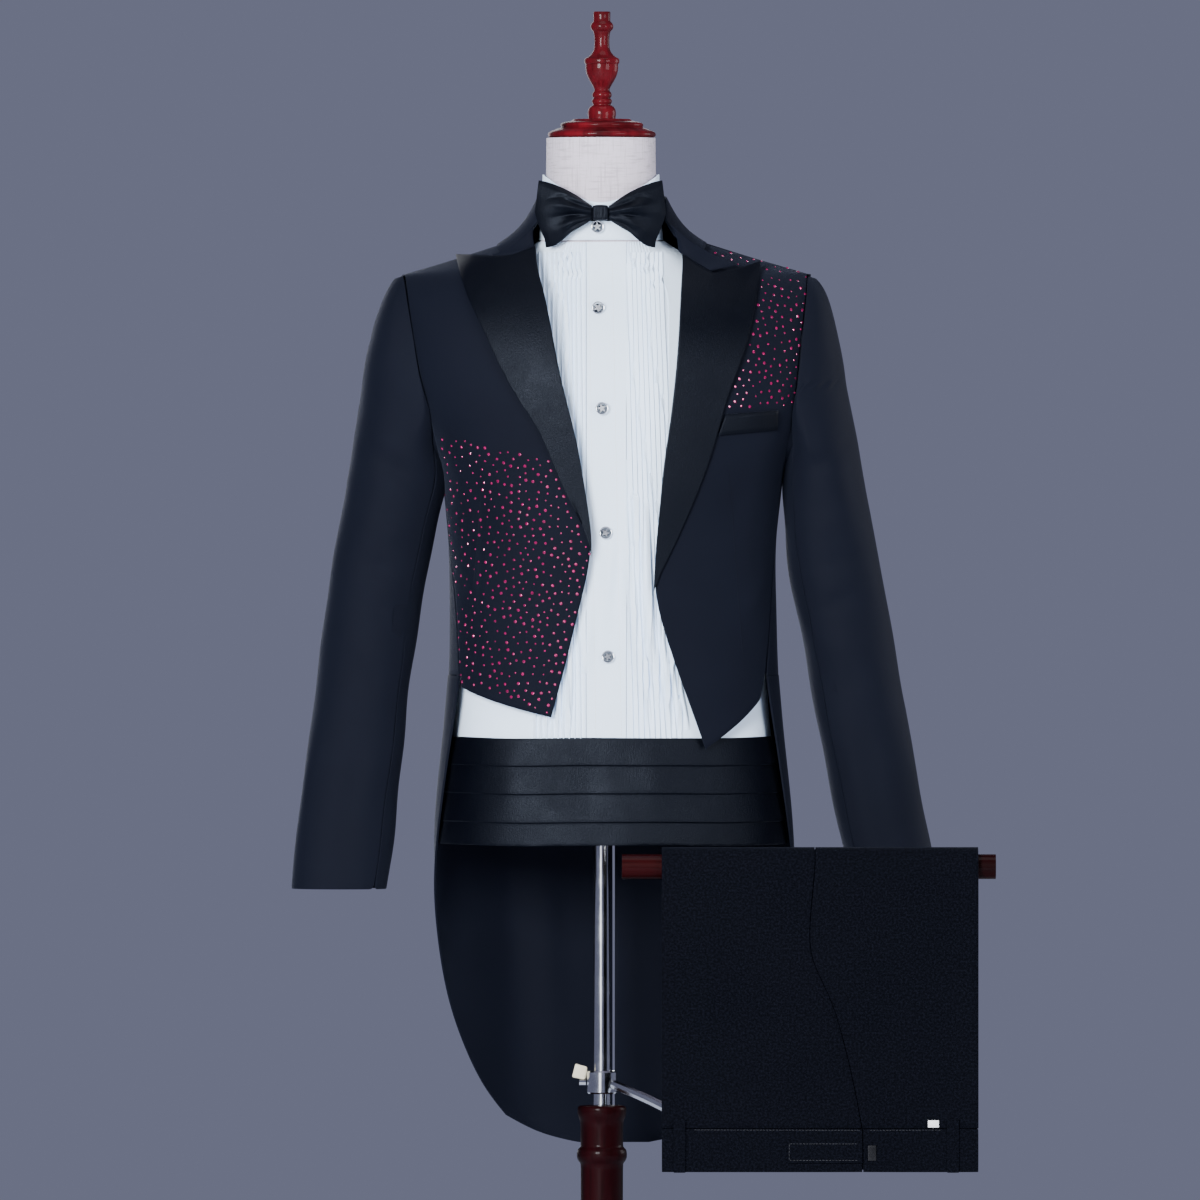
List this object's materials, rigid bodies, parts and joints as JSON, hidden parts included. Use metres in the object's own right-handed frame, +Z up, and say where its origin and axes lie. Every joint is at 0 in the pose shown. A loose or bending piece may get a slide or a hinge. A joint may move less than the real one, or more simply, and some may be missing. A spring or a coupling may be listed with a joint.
{
  "type": "tailcoat tuxedo on a dress form with stand",
  "caption": "Tailcoat, pleated shirt, bow tie and waist sash worn by a limbless dress form on a turned stand, with trousers folded over its side bar.",
  "frame": {"origin": "centre of the round base's underside, on the pole's axis", "axes": "+Z up along the pole, -Y is the coat's front, +X is the wearer's left, where the trousers hang"},
  "size_m": [0.739, 0.378, 1.6835],
  "materials": {
    "wool": "matte wool",
    "trouser_wool": "matte flecked wool",
    "black_satin": "satin",
    "white_shirting": "plain",
    "form_linen": "fine linen",
    "mahogany": "gloss lacquer",
    "chrome": "polished",
    "black_metal": "satin",
    "cream_plastic": "gloss",
    "dark_crystal": "faceted, polished",
    "bare_label": "bare"
  },
  "bodies": {
    "root": {"coat_back_left": "wool", "coat_back_right": "wool", "coat_collar": "wool", "coat_front_left": "wool", "coat_front_right": "wool", "coat_tail_left": "wool", "coat_tail_right": "wool", "sleeve_top_left": "wool", "sleeve_top_right": "wool", "sleeve_under_left": "wool", "sleeve_under_right": "wool", "trouser_folded_layers": "trouser_wool", "trouser_front_left": "trouser_wool", "trouser_front_right": "trouser_wool", "waist_tab": "trouser_wool", "waistband_left": "trouser_wool", "waistband_right": "trouser_wool", "belt_loop_left": "trouser_wool", "belt_loop_right": "trouser_wool", "lapel_left": "black_satin", "lapel_right": "black_satin", "welt_pocket": "black_satin", "bow_band": "black_satin", "bow_knot": "black_satin", "bow_wing_left": "black_satin", "bow_wing_right": "black_satin", "sash_front": "black_satin", "sash_strap": "black_satin", "shirt_back": "white_shirting", "shirt_collar": "white_shirting", "shirt_front_left": "white_shirting", "shirt_front_right": "white_shirting", "shirt_placket": "white_shirting", "dress_form": "form_linen", "finial": "mahogany", "neck_cap": "mahogany", "column": "mahogany", "base": "mahogany", "trouser_bar": "mahogany", "pole": "chrome", "trouser_arm": "chrome", "wing_screw_shank": "chrome", "clamp": "black_metal", "waist_hook": "black_metal", "wing_knob": "cream_plastic", "stud_1": "dark_crystal", "stud_2": "dark_crystal", "stud_3": "dark_crystal", "stud_4": "dark_crystal", "stud_5": "dark_crystal", "bare_tag": "bare_label"}
  },
  "joints": []
}
